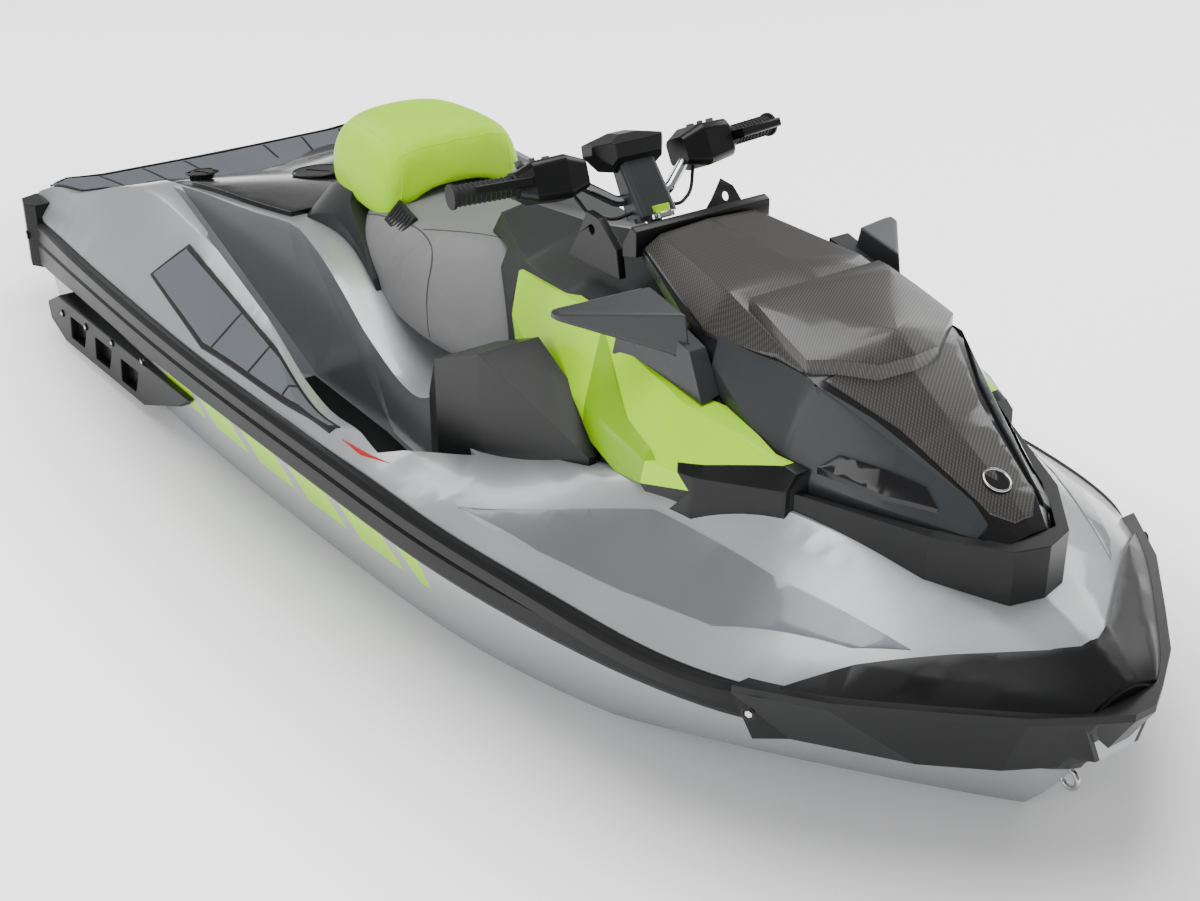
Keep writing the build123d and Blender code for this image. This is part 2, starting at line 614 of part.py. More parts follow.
def mats(deck):
    """Traction mats: platform, gunwale pads and footwell floors."""
    half = [(66, 480), (190, 452), (PLATFORM_FRONT - 90, 300), (PLATFORM_FRONT - 80, 215),
            (PLATFORM_FRONT + 15, 60)]
    save(laid_on_deck(deck, ring(half), PAD_THICKNESS), "platform_mat")
    pad = [(850, 548), (925, 492), (1750, 566), (1740, 572), (1200, 590)]
    save_pair(laid_on_deck(deck, pad, PAD_THICKNESS), "gunwale_pad")
    floor = prism([(1090, 275), (1090, 400), (1835, 478), (1960, 395), (1800, 320), (1450, 285)],
                  FOOTWELL_H, FOOTWELL_H + PAD_THICKNESS + 3)
    save_pair(floor, "footwell_mat")


def rear_tray(deck, base):
    half = [(PLATFORM_FRONT + 26, 66), (PLATFORM_FRONT - 70, 225), (PLATFORM_FRONT - 80, 280),
            (430, 303), (600, 324), (800, 290), (TRAY_FRONT, 252), (TRAY_FRONT, 40)]
    return laid_on_deck(deck, ring(half), TRAY_THICKNESS) - base


def sponson(hull):
    """Port stabiliser bolted to the hull side under the rail, with three windows."""
    sides = [(240, 352), (325, 394), (1120, 404), (1060, 366), (835, 282), (340, 272), (250, 306)]
    body = side_prism(sides, 480, SPONSON_HALF_WIDTH)
    for x in (400, 560, 720):
        window = [(x, 362), (x + 105, 364), (x + 75, 302), (x - 10, 300)]
        body -= side_prism(window, SPONSON_HALF_WIDTH - 22, SPONSON_HALF_WIDTH + 10)
    return body - hull


def ride_plate():
    """Ribbed plate that closes the tunnel's underside below the pump."""
    plate = block((RIDE_REAR, RIDE_FRONT), TUNNEL_WIDTH / 2, (48, 56))
    for y in (-80, 0, 80):
        plate += Pos(0, y, 0) * block((RIDE_REAR, RIDE_FRONT), 5, (40, 48))
    return plate


def intake_grate():
    """Bars across the jet intake, flush with the hull's bottom."""
    grate = block((INTAKE_FRONT - 30, INTAKE_FRONT), INTAKE_WIDTH / 2, (20, 32))
    grate += block((INTAKE_REAR, INTAKE_REAR + 30), INTAKE_WIDTH / 2, (20, 32))
    for y in (-51, -17, 17, 51):
        grate += Pos(0, y, 0) * block((INTAKE_REAR, INTAKE_FRONT), 4, (20, 32))
    return grate


def speaker_box(deck):
    """Port box beside the console, four upright sections from its rear face to its front tip."""
    rows = []
    for x, inner, outer, low, high in SPEAKER_LINES:
        rows.append(outline([(x, inner, low), (x, outer, low), (x, outer, high), (x, inner, high)]))
    return loft(rows, ruled=True) - deck - cowl_form(PANEL_THICKNESS)


def hood_trim(deck):
    """Band round the hood's nose, its top edge falling from the rear ends to the front."""
    outer = [(2715, 262), (2955, 150), (3060, 62), (3078, 0)]
    inner = [(2600, 262), (2720, 250), (2940, 130), (3030, 50)]
    band = prism(ring(outer), 560, 775) - prism(ring(inner), 500, 900)
    slope = side_prism([(2600, 560), (2600, 790), (2720, 772), (3085, 744), (3085, 560)], -400, 400)
    return (band & slope) - deck


def mirror_body():
    """Port mirror housing, a wedge swept back from the console's side."""
    front = [(2470, 245, 905), (2455, 245, 985)], [(2290, 402, 955), (2288, 402, 968)]
    root = front[0] + MIRROR_REAR[1::-1]
    tip = front[1] + MIRROR_REAR[2:]
    return faceted(root, tip)


def mirror_glass():
    """Glass let on to the flat rear face of the port housing."""
    middle = [sum(corner[i] for corner in MIRROR_REAR) / 4 for i in range(3)]
    corners = [[m + MIRROR_GLASS_SHARE * (c - m) for c, m in zip(corner, middle)]
               for corner in MIRROR_REAR]
    face = outline(corners)
    outwards = face.normal_at() if face.normal_at().X < 0 else -face.normal_at()
    return Solid.extrude(face, outwards * MIRROR_GLASS)


def mirror_bracket():
    """Panel beside the hood that carries the port mirror."""
    low = [(2280, 225, 860), (2560, 225, 800), (2560, 275, 800), (2280, 275, 860)]
    high = [(2300, 215, 975), (2480, 225, 930), (2480, 260, 930), (2300, 262, 975)]
    return faceted(low, high)


def roundel():
    """Blank round plate on the hood's nose."""
    return Plane(origin=at(2952, 0, 806), x_dir=(0, 1, 0), z_dir=(0.42, 0, 0.91)) * Cylinder(
        ROUNDEL_RADIUS, 6) - hood_form()


def bow_eye():
    return place(3174, 0, 352) * Rot(90, 0, 0) * Torus(EYE_RADIUS, EYE_BAR)


def stern_eye():
    return place(TRANSOM_X - 7, 380, 345) * Rot(90, 0, 0) * Torus(EYE_RADIUS, EYE_BAR)


def build():
    os.makedirs("parts", exist_ok=True)
    hull, deck = shells()
    save(hull, "hull")
    save(deck, "deck")
    save_pair(rub_rail(hull, deck), "rub_rail")
    save(bow_bumper(hull, deck), "bow_bumper")
    bumper = stern_bumper(hull, deck)
    save(bumper, "stern_bumper")

    cowl_clear = hood_clearance()
    flank = side_prism(BASE_SIDE, -400, 400)
    seat = seat_form() - flank - deck
    base = (seat_form(BASE_PROUD) & flank) - deck - seat
    bolster = bolster_form() - seat - base
    save(seat, "seat_rider")
    save(bolster, "seat_bolster")
    save(base, "seat_base")

    cowl = cowl_form() - deck - seat - cowl_clear
    cowl = cowl - steering_frame() * Pos(0, 0, -STEM_DEPTH - 5) * Cylinder(
        STEM_RADIUS + PIN_GAP, 4 * STEM_DEPTH, align=ON_BASE)
    cowl = cowl - storage_bin(0, BIN_MOUTH_TOP)
    save(cowl, "console_cowl")
    skin = cowl_form(PANEL_THICKNESS) - cowl_form() - deck - seat - cowl_clear
    panel = skin & side_prism(SIDE_PANEL, 100, 500)
    save_pair(panel, "side_panel")
    save_pair((skin & side_prism(SIDE_INSERT, 100, 500)) - panel, "side_insert")

    save_pair(speaker_box(deck), "speaker_box")

    save(hood_form(), "hood")
    save(storage_bin(0) - storage_bin(BIN_WALL) - cowl_clear, "storage_bin")
    save(hood_trim(deck) - cowl_clear - cowl, "hood_trim")

    save_pair(mirror_body() - cowl_form(PANEL_THICKNESS) - hood_clearance(), "mirror")
    save_pair(mirror_glass(), "mirror_glass")
    bracket = mirror_bracket() - cowl_form(PANEL_THICKNESS) - mirror_body() - mirror_glass()
    save_pair(bracket - cowl_clear, "mirror_bracket")
    save(roundel(), "hood_roundel")
    save(bow_eye() - hull, "bow_eye")
    save_pair(stern_eye() - hull - bumper, "stern_eye")

    frame = steering_frame()
    column, housing = steering_column() - handlebar(), control_housing()
    save(frame * column, "steering_column")
    save(frame * handlebar(), "handlebar")
    save(frame * (gauge_pod() - steering_column()), "gauge_pod")
    pairs = (("grip", grip()), ("control_housing", housing), ("lever", lever() - housing),
             ("control_cable", control_cable() - housing - column - handlebar()))
    for node, shape in pairs:
        save(frame * shape, f"{node}_port")
        save(frame * mirror(shape, about=Plane.XZ), f"{node}_starboard")

    mats(deck)
    save(rear_tray(deck, base), "rear_tray")
    save_pair(sponson(hull), "sponson")
    save(ride_plate() - hull, "ride_plate")
    save(intake_grate() - hull, "intake_grate")
    save(pump_housing(), "pump_housing")
    save(stator(), "pump_stator")
    save(pump_outlet(), "pump_outlet")
    save(impeller(), "impeller")
    save(drive_shaft(), "drive_shaft")
    save(nozzle(), "steering_nozzle")
    save(reverse_gate(), "reverse_gate")
    save(block((ENGINE_REAR, ENGINE_REAR + ENGINE_LENGTH), ENGINE_WIDTH / 2,
               (ENGINE_FLOOR, ENGINE_FLOOR + ENGINE_HEIGHT)), "engine")


if __name__ == "__main__":
    build()
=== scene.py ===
"""Personal watercraft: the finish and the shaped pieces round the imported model, in metres."""
from math import cos, pi, radians, sin

import bpy
from mathutils import Matrix, Vector


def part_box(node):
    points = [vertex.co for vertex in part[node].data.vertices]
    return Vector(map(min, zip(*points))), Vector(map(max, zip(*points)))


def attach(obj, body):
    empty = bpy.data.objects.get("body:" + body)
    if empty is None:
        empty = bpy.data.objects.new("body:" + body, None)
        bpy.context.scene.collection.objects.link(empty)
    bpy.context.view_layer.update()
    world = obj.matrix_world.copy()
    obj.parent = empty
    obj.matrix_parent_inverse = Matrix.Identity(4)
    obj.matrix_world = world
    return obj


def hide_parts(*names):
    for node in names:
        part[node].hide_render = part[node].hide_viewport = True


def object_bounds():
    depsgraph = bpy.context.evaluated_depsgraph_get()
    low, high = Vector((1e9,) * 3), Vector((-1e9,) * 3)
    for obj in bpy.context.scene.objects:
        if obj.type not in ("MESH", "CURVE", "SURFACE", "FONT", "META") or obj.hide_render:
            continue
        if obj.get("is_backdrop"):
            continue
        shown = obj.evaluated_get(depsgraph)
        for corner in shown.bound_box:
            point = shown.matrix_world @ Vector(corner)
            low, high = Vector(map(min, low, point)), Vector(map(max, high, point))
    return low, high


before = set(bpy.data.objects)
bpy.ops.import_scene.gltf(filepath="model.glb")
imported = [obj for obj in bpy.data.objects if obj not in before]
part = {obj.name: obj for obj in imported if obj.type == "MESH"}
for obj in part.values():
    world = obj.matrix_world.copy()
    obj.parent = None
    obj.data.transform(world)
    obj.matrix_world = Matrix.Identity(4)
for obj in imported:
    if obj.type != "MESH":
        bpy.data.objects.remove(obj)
cad_low, cad_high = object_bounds()

# ---- studio ------------------------------------------------------------------------------
# A white sweep lies at the resting waterline, so the craft stands in it as it floats. It glows, and its
# glow fades near the craft into a painted soft shadow under it; soft boxes overhead and at each side light
# the rest.
# The camera looks down over the starboard bow.
bpy.ops.object.select_all(action="DESELECT")
bpy.ops.mesh.primitive_plane_add(size=60, location=(0, 0, 0))
floor = bpy.context.object
floor.name = "floor"
sweep = bpy.data.materials.new("pale_sweep")
sweep.use_nodes = True
nodes, links = sweep.node_tree.nodes, sweep.node_tree.links
nodes["Principled BSDF"].inputs["Roughness"].default_value = 0.85
nodes["Principled BSDF"].inputs["Specular IOR Level"].default_value = 0.2
nodes["Principled BSDF"].inputs["Emission Color"].default_value = (1.0, 1.0, 1.0, 1)
place = nodes.new("ShaderNodeTexCoord")
oval = nodes.new("ShaderNodeMapping")
oval.inputs["Scale"].default_value = (0.42, 1.0, 1.0)
links.new(place.outputs["Object"], oval.inputs["Vector"])
far = nodes.new("ShaderNodeVectorMath")
far.operation = "LENGTH"
links.new(oval.outputs["Vector"], far.inputs[0])
# Painted shadow: the sweep's glow is dim close to the craft and full further out.
shadowed_glow = nodes.new("ShaderNodeMapRange")
shadowed_glow.interpolation_type = "SMOOTHSTEP"
shadowed_glow.inputs["From Min"].default_value = 0.55
shadowed_glow.inputs["From Max"].default_value = 1.25
shadowed_glow.inputs["To Min"].default_value = 0.05
shadowed_glow.inputs["To Max"].default_value = 1.7
links.new(far.outputs["Value"], shadowed_glow.inputs["Value"])
links.new(shadowed_glow.outputs["Result"], nodes["Principled BSDF"].inputs["Emission Strength"])
paper = nodes.new("ShaderNodeTexNoise")
paper.inputs["Scale"].default_value = 3
tint = nodes.new("ShaderNodeValToRGB")
tint.color_ramp.elements[0].color = (0.90, 0.90, 0.91, 1)
tint.color_ramp.elements[1].color = (0.93, 0.93, 0.93, 1)
links.new(paper.outputs["Fac"], tint.inputs["Fac"])
links.new(tint.outputs["Color"], nodes["Principled BSDF"].inputs["Base Color"])
floor.data.materials.append(sweep)
floor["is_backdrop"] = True

sky = bpy.data.worlds.new("studio_air")
bpy.context.scene.world = sky
sky.use_nodes = True
sky.node_tree.nodes["Background"].inputs["Color"].default_value = (1.0, 1.0, 1.0, 1)
sky.node_tree.nodes["Background"].inputs["Strength"].default_value = 0.35
soft_boxes = {
    "overhead": ((0.3, 0.2, 5.2), (0, 0, 0), 5.0, 2.4, 240),
    "starboard": ((1.0, -5.5, 2.6), (0, 0, 0.3), 4.0, 1.6, 90),
    "port": ((-0.5, 5.5, 3.0), (0, 0, 0.3), 4.0, 2.0, 110),
    "stern": ((-5.0, -0.8, 3.2), (0, 0, 0.3), 3.0, 2.0, 80),
}
for name, (place, aim, width, height, watts) in soft_boxes.items():
    bpy.ops.object.light_add(type="AREA", location=place)
    lamp = bpy.context.object
    lamp.name = "soft_box_" + name
    lamp.data.shape = "RECTANGLE"
    lamp.data.size, lamp.data.size_y = width, height
    lamp.data.energy = watts
    lamp.rotation_euler = (Vector(aim) - Vector(place)).to_track_quat("-Z", "Y").to_euler()

bpy.ops.object.camera_add(location=(3.0744, -2.064, 1.9706), rotation=(radians(62.824), 0, radians(54.246)))
bpy.context.scene.camera = bpy.context.object
bpy.context.object.data.lens = 55.95

# ---- hull --------------------------------------------------------------------------------
# A moulded glass-fibre V hull in silver gelcoat with a fine flake under a clear coat.
# Plain lime dashes are sprayed on each side below the rub rail.
def lacquer(name, colour, roughness=0.3, flake=0.0, grain=0.0, coat=0.0, wear=0.05, grain_size=700,
            shine=0.25):
    """Sprayed or moulded finish: faint cloudiness, uneven gloss, and a grain in its bump."""
    made = bpy.data.materials.new(name)
    made.use_nodes = True
    nodes, links = made.node_tree.nodes, made.node_tree.links
    shader = nodes["Principled BSDF"]
    place = nodes.new("ShaderNodeTexCoord")
    cloud = nodes.new("ShaderNodeTexNoise")
    cloud.inputs["Scale"].default_value = 5
    cloud.inputs["Detail"].default_value = 6
    links.new(place.outputs["Object"], cloud.inputs["Vector"])
    tone = nodes.new("ShaderNodeValToRGB")
    tone.name = "tone"
    tone.color_ramp.elements[0].position = 0.3
    tone.color_ramp.elements[1].position = 0.7
    tone.color_ramp.elements[0].color = (*[c * (1 - wear) for c in colour], 1)
    tone.color_ramp.elements[1].color = (*[min(1, c * (1 + wear)) for c in colour], 1)
    links.new(cloud.outputs["Fac"], tone.inputs["Fac"])
    links.new(tone.outputs["Color"], shader.inputs["Base Color"])
    gloss = nodes.new("ShaderNodeMapRange")
    gloss.inputs["To Min"].default_value = roughness * 0.85
    gloss.inputs["To Max"].default_value = min(1, roughness * 1.2)
    links.new(cloud.outputs["Fac"], gloss.inputs["Value"])
    links.new(gloss.outputs["Result"], shader.inputs["Roughness"])
    shader.inputs["Metallic"].default_value = flake
    shader.inputs["Coat Weight"].default_value = coat
    shader.inputs["Specular IOR Level"].default_value = shine
    shader.inputs["Coat Roughness"].default_value = 0.1
    if grain:
        pores = nodes.new("ShaderNodeTexNoise")
        pores.inputs["Scale"].default_value = grain_size
        links.new(place.outputs["Object"], pores.inputs["Vector"])
        relief = nodes.new("ShaderNodeBump")
        relief.inputs["Strength"].default_value = grain
        relief.inputs["Distance"].default_value = 0.0004
        links.new(pores.outputs["Fac"], relief.inputs["Height"])
        links.new(relief.outputs["Normal"], shader.inputs["Normal"])
    return made


def step(tree, source, edge, above=True):
    """1 where a value is above (or below) an edge, and 0 elsewhere."""
    test = tree.nodes.new("ShaderNodeMath")
    test.operation = "GREATER_THAN" if above else "LESS_THAN"
    test.inputs[1].default_value = edge
    tree.links.new(source, test.inputs[0])
    return test.outputs[0]


def product(tree, *values):
    """All of several masks at once."""
    result = values[0]
    for value in values[1:]:
        both = tree.nodes.new("ShaderNodeMath")
        both.operation = "MULTIPLY"
        tree.links.new(result, both.inputs[0])
        tree.links.new(value, both.inputs[1])
        result = both.outputs[0]
    return result


def across(tree, direction):
    """Distance of a surface point along a direction in the frame."""
    place = tree.nodes.new("ShaderNodeTexCoord")
    dot = tree.nodes.new("ShaderNodeVectorMath")
    dot.operation = "DOT_PRODUCT"
    dot.inputs[1].default_value = direction
    tree.links.new(place.outputs["Object"], dot.inputs[0])
    return dot.outputs["Value"]


def mask_paint(made, mask, colour):
    """Spray another colour over a finish where a mask is 1."""
    nodes, links = made.node_tree.nodes, made.node_tree.links
    shader = nodes["Principled BSDF"]
    under = shader.inputs["Base Color"].links[0].from_socket
    spray = nodes.new("ShaderNodeMix")
    spray.data_type = "RGBA"
    links.new(mask, spray.inputs["Factor"])
    links.new(under, spray.inputs["A"])
    spray.inputs["B"].default_value = (*colour, 1)
    links.new(spray.outputs["Result"], shader.inputs["Base Color"])


def dress(finish, *names):
    """Give CAD nodes, picked by the start of their names, a finish."""
    for name, node in part.items():
        if name.startswith(names):
            node.data.materials.clear()
            node.data.materials.append(finish)


def soften(width, *names, angle=28):
    """Round the sharp edges of CAD nodes as a mould leaves them."""
    for name, node in part.items():
        if name.startswith(names):
            joined = node.modifiers.new("joined", "WELD")
            joined.merge_threshold = 0.00005
            eased = node.modifiers.new("eased", "BEVEL")
            eased.width, eased.segments = width, 3
            eased.limit_method, eased.angle_limit = "ANGLE", radians(angle)
            eased.harden_normals = True
            eased.use_clamp_overlap = True


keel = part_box("hull")[0].z
silver_colour = (0.40, 0.41, 0.425)
lime_colour = (0.46, 0.92, 0.0)
hull_paint = lacquer("silver_gelcoat", silver_colour, roughness=0.36, flake=0.3, coat=0.3, wear=0.03,
                     shine=0.45)
tree = hull_paint.node_tree
along, up = across(tree, (1, 0, 0)), across(tree, (0, 0, 1))
slant = across(tree, (1, 0, 0.55))
pitch = tree.nodes.new("ShaderNodeMath")
pitch.operation = "PINGPONG"
pitch.inputs[1].default_value = 0.105
tree.links.new(slant, pitch.inputs[0])
dash_span, dash_heights, dash_gap = (-0.72, 0.42), (0.112, 0.186), 0.026
dashes = product(tree, step(tree, pitch.outputs[0], dash_gap),
                 step(tree, along, dash_span[0]), step(tree, along, dash_span[1], above=False),
                 step(tree, up, dash_heights[0]), step(tree, up, dash_heights[1], above=False))
mask_paint(hull_paint, dashes, lime_colour)
dress(hull_paint, "hull")
soften(0.004, "hull")

# ---- deck --------------------------------------------------------------------------------
# The upper moulding, bonded to the hull at the seam, in the same silver gelcoat.
# Its footwells are cast in and its edges are eased as they leave the mould.
deck_paint = lacquer("silver_deck_gelcoat", silver_colour, roughness=0.32, flake=0.35, coat=0.45, wear=0.03,
                     shine=0.5)
dress(deck_paint, "deck")
soften(0.006, "deck")

# ---- hood --------------------------------------------------------------------------------
# The lid over the front bin: a gloss black moulding with satin side panels clipped to it.
# A carbon-weave cap, a raised scoop and a nose spine are bonded on top, with black channels between.
def spot(x, y, h):
    """Place in the frame for metres from the stern, the centre plane and the keel."""
    return Vector((cad_low.x + x, y, h + keel))


def laid(name, over, plan, rise, finish, body="craft", span=(0.3, 1.1), edge=0.0012, cut=None):
    """Piece that follows CAD surfaces inside a plan outline (x, y from stern) and stands proud of them."""
    bpy.ops.object.select_all(action="DESELECT")
    skin = part[over].copy()
    skin.data = part[over].data.copy()
    skin.modifiers.clear()
    skin.name = skin.data.name = name
    bpy.context.collection.objects.link(skin)
    bpy.context.view_layer.objects.active = skin
    skin.select_set(True)
    skin.hide_render = skin.hide_viewport = False
    bpy.ops.object.mode_set(mode="EDIT")
    bpy.ops.mesh.select_all(action="SELECT")
    bpy.ops.mesh.remove_doubles(threshold=0.00005)
    bpy.ops.object.mode_set(mode="OBJECT")
    grown = skin.modifiers.new("grown", "DISPLACE")
    grown.mid_level, grown.strength = 0, rise
    bpy.ops.object.modifier_apply(modifier="grown")
    cutter = plate(name + "_cutter", [spot(x, y, 0).xy for x, y in plan], span[0] + keel, span[1] + keel)
    trim_to(skin, cutter, "INTERSECT")
    bpy.data.objects.remove(cutter)
    if cut:
        bpy.ops.object.mode_set(mode="EDIT")
        bpy.ops.mesh.select_all(action="SELECT")
        bpy.ops.mesh.bisect(plane_co=cut[0], plane_no=cut[1], use_fill=True, clear_outer=True)
        bpy.ops.object.mode_set(mode="OBJECT")
    eased = skin.modifiers.new("eased", "BEVEL")
    eased.width, eased.segments = edge, 2
    eased.limit_method, eased.angle_limit = "ANGLE", radians(30)
    skin.data.materials.clear()
    skin.data.materials.append(finish)
    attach(skin, body)
    return skin


def plate(name, plan, low, high):
    """Upright prism over a plan outline in the frame, between two heights."""
    bpy.ops.object.select_all(action="DESELECT")
    sheet = bpy.data.curves.new(name, "CURVE")
    sheet.dimensions, sheet.fill_mode = "2D", "BOTH"
    sheet.extrude = (high - low) / 2
    rim = sheet.splines.new("POLY")
    rim.points.add(len(plan) - 1)
    for point, corner in zip(rim.points, plan):
        point.co = (corner[0], corner[1], 0, 1)
    rim.use_cyclic_u = True
    block = bpy.data.objects.new(name, sheet)
    block.location.z = (high + low) / 2
    bpy.context.collection.objects.link(block)
    bpy.context.view_layer.objects.active = block
    block.select_set(True)
    bpy.ops.object.convert(target="MESH")
    block = bpy.context.object
    bpy.ops.object.transform_apply(location=True, rotation=False, scale=False)
    bpy.ops.object.mode_set(mode="EDIT")
    bpy.ops.mesh.select_all(action="SELECT")
    bpy.ops.mesh.remove_doubles(threshold=0.00005)
    bpy.ops.mesh.normals_make_consistent(inside=False)
    bpy.ops.object.mode_set(mode="OBJECT")
    return block


def trim_to(piece, tool, operation):
    """Join, cut or intersect a piece with a tool, and keep the result."""
    bpy.ops.object.select_all(action="DESELECT")
    bpy.context.view_layer.objects.active = piece
    piece.select_set(True)
    shaped = piece.modifiers.new("shaped", "BOOLEAN")
    shaped.operation, shaped.solver, shaped.object = operation, "EXACT", tool
    bpy.ops.object.modifier_apply(modifier="shaped")


def both_sides(half):
    """Plan outline from its starboard half, listed from stern to bow."""
    return [(x, -y) for x, y in half] + [(x, y) for x, y in reversed(half) if y > 0]


def twill(name, dark, light):
    """Carbon cloth under clear lacquer: diagonal tows that catch the light in turn."""
    made = lacquer(name, dark, roughness=0.36, coat=0.2, shine=0.4)
    nodes, links = made.node_tree.nodes, made.node_tree.links
    tree = made.node_tree
    tows = []
    for direction, spacing in (((1, 0.62, 0.35), 0.0055), ((1, -1.6, 0.35), 0.012)):
        tow = nodes.new("ShaderNodeMath")
        tow.operation = "PINGPONG"
        tow.inputs[1].default_value = spacing / 2
        links.new(across(tree, direction), tow.inputs[0])
        tows.append(step(tree, tow.outputs[0], spacing / 4))
    weave = product(tree, tows[0])
    fleck = product(tree, tows[0], tows[1])
    mask_paint(made, weave, light)
    mask_paint(made, fleck, [c * 1.5 for c in light])
    return made


gloss_black = lacquer("gloss_black", (0.008, 0.008, 0.009), roughness=0.2, coat=0.25)
satin_charcoal = lacquer("satin_charcoal", (0.034, 0.037, 0.040), roughness=0.36, coat=0.05, shine=0.3)
carbon = twill("carbon_weave", (0.020, 0.019, 0.018), (0.050, 0.047, 0.043))
dress(gloss_black, "hood")
soften(0.004, "hood")
cap_plan = [(2.203, 0.146), (2.45, 0.205), (2.60, 0.172), (2.665, 0.171), (2.73, 0.07), (2.738, 0)]
scoop_plan = [(2.50, 0.150), (2.605, 0.163), (2.672, 0.168), (2.738, 0.068), (2.750, 0)]
spine_plan = [(2.700, 0.150), (2.765, 0.118), (2.82, 0.090), (2.92, 0.068), (2.99, 0.052), (3.018, 0.02)]
side_plan = [(2.480, 0.196), (2.617, 0.176), (2.700, 0.172), (2.790, 0.122), (2.86, 0.098), (2.965, 0.068),
             (3.000, 0.064), (3.000, 0.092), (2.853, 0.170), (2.693, 0.242), (2.50, 0.228)]
insert_plan = [(2.752, 0.206), (2.775, 0.180), (2.905, 0.112), (2.935, 0.112), (2.86, 0.158)]
scoop_lip = (spot(2.50, 0, 1.009), Vector((0.13, 0, 1)))
laid("hood_cap", "hood", both_sides(cap_plan), 0.004, carbon, "hood_lid", (0.80, 1.1))
laid("hood_scoop", "hood", both_sides(scoop_plan), 0.026, carbon, "hood_lid", (0.82, 1.1), cut=scoop_lip)
laid("hood_spine", "hood", both_sides(spine_plan), 0.0022, carbon, "hood_lid", (0.70, 1.1))
for side, name in ((-1, "starboard"), (1, "port")):
    laid("hood_side_" + name, "hood", [(x, side * y) for x, y in side_plan], 0.005, satin_charcoal,
         "hood_lid", (0.74, 1.1))
    laid("nose_insert_" + name, "hood", [(x, side * y) for x, y in insert_plan], 0.0095, gloss_black,
         "hood_lid", (0.74, 1.1))

# ---- gunwales and foredeck -----------------------------------------------------------------
# The foredeck has a darker grey layer on each side of the hood, inside the pale outer band: painted shade
# and reflection of a facet.
# Foam pads lie on the gunwales in a black bonded rim, each cut through to drain.
# A small red patch is laid where the pale outer band ends.
painted_facet_shade = lacquer("painted_facet_shade", (0.185, 0.195, 0.208), roughness=0.36, flake=0.4, coat=0.5, wear=0.05)
rim_black = lacquer("bonded_rim", (0.012, 0.012, 0.013), roughness=0.55, grain=0.4, grain_size=500)
foam = lacquer("grey_foam", (0.125, 0.135, 0.148), roughness=0.8, grain=0.8, grain_size=380)
red_patch_finish = lacquer("red_patch_finish", (0.50, 0.012, 0.012), roughness=0.3, coat=0.4)
dress(foam, "gunwale_pad")
soften(0.0015, "gunwale_pad")
for side, name in ((-1, "starboard"), (1, "port")):
    # Painted shade and reflection: a thin darker grey layer where the foredeck facet falls dark.
    laid("foredeck_painted_shade_" + name, "deck", [(x, side * y) for x, y in (
        (2.177, 0.547), (2.401, 0.521), (2.585, 0.478), (2.764, 0.428), (2.957, 0.305), (3.020, 0.235),
        (2.942, 0.268), (2.804, 0.321), (2.640, 0.357), (2.539, 0.376))],
        0.0011, painted_facet_shade, edge=0.0003)
    laid("pad_rim_" + name, "deck", [(x, side * y) for x, y in (
        (0.836, 0.550), (0.922, 0.482), (1.765, 0.560), (1.750, 0.578), (1.200, 0.597))],
        0.0032, rim_black, edge=0.0006)
    for number, (x, lean) in enumerate(((1.235, 0.035), (1.400, 0.030), (1.545, 0.030))):
        laid("pad_cut_%s_%d" % (name, number), "gunwale_pad_" + name, [(x + lean, side * 0.50),
             (x + lean + 0.006, side * 0.50), (x + 0.006, side * 0.595), (x, side * 0.595)],
             0.0009, rim_black, edge=0.0002)
    laid("band_red_patch_" + name, "deck", [(x, side * y) for x, y in (
        (1.790, 0.572), (1.870, 0.560), (1.935, 0.548), (1.860, 0.569))], 0.0012, red_patch_finish, edge=0.0003)

# ---- seat --------------------------------------------------------------------------------
# The bolster is a foam block under stretched lime vinyl that braces the rider's hips.
# The saddle is grey vinyl over foam, seamed along its shoulders; both sit on a hard base.
def soft_form(name, stations, give):
    """Closed pad through rings of (half breadth, height) set across the craft, puffed by its filling."""
    bpy.ops.object.select_all(action="DESELECT")
    mesh = bpy.data.meshes.new(name)
    rings = [[spot(x, y, h) for y, h in half] + [spot(x, -y, h) for y, h in reversed(half[1:-1])]
             for x, half in stations]
    count = len(rings[0])
    corners = [corner for ring in rings for corner in ring]
    walls = [(r * count + i, r * count + (i + 1) % count, (r + 1) * count + (i + 1) % count,
              (r + 1) * count + i) for r in range(len(rings) - 1) for i in range(count)]
    ends = [tuple(reversed(range(count))), tuple(range(len(corners) - count, len(corners)))]
    mesh.from_pydata(corners, [], walls + ends)
    pad = bpy.data.objects.new(name, mesh)
    bpy.context.collection.objects.link(pad)
    bpy.context.view_layer.objects.active = pad
    pad.select_set(True)
    bpy.ops.object.mode_set(mode="EDIT")
    bpy.ops.mesh.select_all(action="SELECT")
    bpy.ops.mesh.normals_make_consistent(inside=False)
    bpy.ops.object.mode_set(mode="OBJECT")
    rounded = pad.modifiers.new("rounded", "SUBSURF")
    rounded.levels = rounded.render_levels = 3
    bpy.ops.object.modifier_apply(modifier="rounded")
    skin = pad.modifiers.new("skin", "REMESH")
    skin.mode, skin.voxel_size = "VOXEL", 0.0075
    bpy.ops.object.modifier_apply(modifier="skin")
    before = [vertex.co.copy() for vertex in pad.data.vertices]
    cover = pad.modifiers.new("cover", "CLOTH")
    cover.settings.use_pressure = True
    cover.settings.uniform_pressure_force = 4
    cover.settings.effector_weights.gravity = 0
    for step in range(1, 21):
        bpy.context.scene.frame_set(step)
    bpy.ops.object.modifier_apply(modifier="cover")
    for vertex, place in zip(pad.data.vertices, before):
        move = vertex.co - place
        if move.length > give:
            vertex.co = place + move.normalized() * give
    bpy.context.scene.frame_set(1)
    finer = pad.modifiers.new("finer", "SUBSURF")
    finer.levels = finer.render_levels = 1
    bpy.ops.object.modifier_apply(modifier="finer")
    bpy.ops.object.shade_smooth()
    return pad


